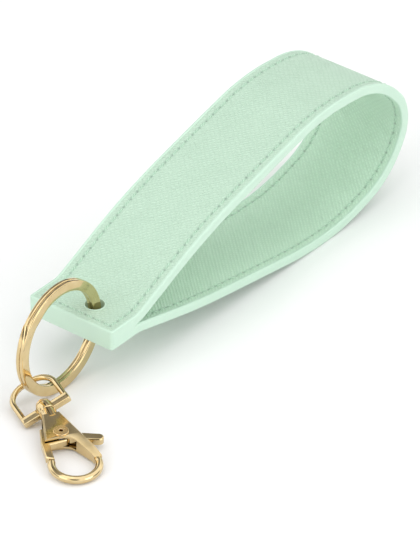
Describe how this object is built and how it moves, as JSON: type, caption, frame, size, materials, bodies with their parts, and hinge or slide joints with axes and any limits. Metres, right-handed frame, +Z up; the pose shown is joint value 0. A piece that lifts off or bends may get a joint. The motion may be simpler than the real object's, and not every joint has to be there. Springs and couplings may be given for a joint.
{
  "type": "wristlet keychain",
  "caption": "Padded strap folded into a wrist loop, with a split key ring through its ends and a swivel trigger clasp hanging on the ring.",
  "frame": {"origin": "middle of the underside of the whole object's box, on the surface it lies on", "axes": "+X runs along the strap from the key ring to the loop's bend, +Y across the strap's width away from the clasp, +Z up"},
  "size_m": [0.155, 0.0462, 0.0394],
  "materials": {
    "outer_leather": "cross-grained, matt",
    "inner_leather": "cross-grained, matt",
    "stiffener": "plain",
    "glue": "plain",
    "edge_paint": "smooth, satin",
    "thread": "twisted polyester",
    "ring_gold": "polished light gold plating",
    "cast_gold": "polished light gold plating",
    "rivet_gold": "polished light gold plating",
    "spring_steel": "plain"
  },
  "bodies": {
    "strap": {"strap_outer_skin": "outer_leather", "strap_inner_skin": "inner_leather", "strap_stiffener": "stiffener", "strap_end_bond": "glue", "edge_paint_near": "edge_paint", "edge_paint_far": "edge_paint", "edge_paint_end": "edge_paint", "edge_thread_near": "thread", "edge_thread_far": "thread", "end_thread": "thread"},
    "ring": {"key_ring": "ring_gold"},
    "eye": {"swivel_eye": "cast_gold"},
    "clasp": {"clasp_body": "cast_gold", "swivel_rivet": "rivet_gold", "pivot_rivet": "rivet_gold", "trigger_spring": "spring_steel"},
    "gate": {"trigger": "cast_gold"}
  },
  "joints": [
    {"name": "ring_swing", "type": "hinge", "parent": "strap", "child": "ring", "pos_m": [-0.03348, 0.00819, 0.0147], "axis": [0, 0, 1], "range_deg": [-90, 90]},
    {"name": "eye_swing", "type": "hinge", "parent": "ring", "child": "eye", "pos_m": [-0.05584, 0.00819, 0.00449], "axis": [-0.7696, 0, 0.6385], "range_deg": [-90, 30]},
    {"name": "clasp_swivel", "type": "hinge", "parent": "eye", "child": "clasp", "pos_m": [-0.05993, 0.00179, 0.00343], "axis": [0.5131, 0.8539, 0.0872], "continuous": true},
    {"name": "gate_press", "type": "hinge", "parent": "clasp", "child": "gate", "pos_m": [-0.06547, -0.00744, 0.00249], "axis": [-0.0449, -0.0747, 0.9962], "range_deg": [0, 30], "stiffness_Nm_per_rad": 0.012, "springref_deg": -28.65}
  ]
}
